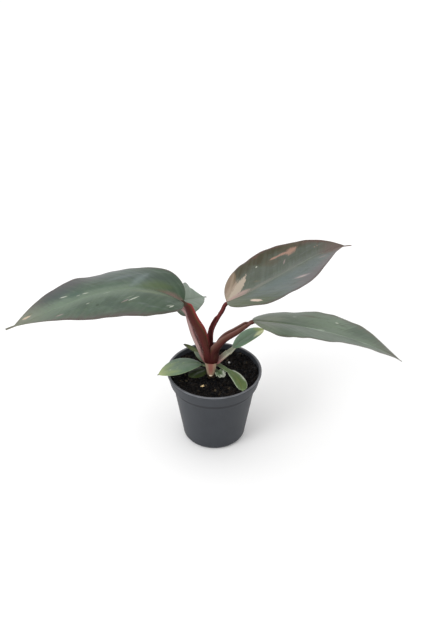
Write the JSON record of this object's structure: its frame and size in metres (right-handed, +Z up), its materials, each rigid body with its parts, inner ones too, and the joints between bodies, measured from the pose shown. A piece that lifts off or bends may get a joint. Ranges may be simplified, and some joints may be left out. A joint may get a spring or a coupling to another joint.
{
  "type": "pink princess philodendron",
  "caption": "Young pink princess philodendron in a small round nursery pot: arching dark green leaves with pink and cream flecks on maroon stalks, with small leaves at the base",
  "frame": {"origin": "centre of the pot's underside, on the face that it stands on", "axes": "+Z up; -Y faces the picture's viewer, so the long single leaf points to -X and the pair of large leaves to +X"},
  "size_m": [0.2334, 0.1007, 0.1179],
  "materials": {
    "pot_plastic": "satin",
    "soil": "matte",
    "stem": "satin",
    "old_petiole": "matte",
    "petiole": "satin",
    "pale_petiole": "satin",
    "large_leaf": "satin",
    "back_leaf": "satin",
    "small_leaf": "satin",
    "dark_small_leaf": "satin",
    "tiny_leaf": "satin"
  },
  "bodies": {
    "root": {"pot": "pot_plastic", "soil": "soil", "stem": "stem", "old_petiole": "old_petiole", "petiole_left": "petiole", "petiole_upper": "petiole", "petiole_lower": "petiole", "petiole_back": "pale_petiole", "petiole_small_right": "pale_petiole", "blade_left": "large_leaf", "blade_upper": "large_leaf", "blade_lower": "large_leaf", "blade_back": "back_leaf", "blade_small_right": "small_leaf", "leaf_small_left": "small_leaf", "leaf_small_front": "small_leaf", "leaf_small_upright": "small_leaf", "leaf_small_dark": "dark_small_leaf", "leaf_small_back": "dark_small_leaf", "leaf_tiny": "tiny_leaf"}
  },
  "joints": []
}
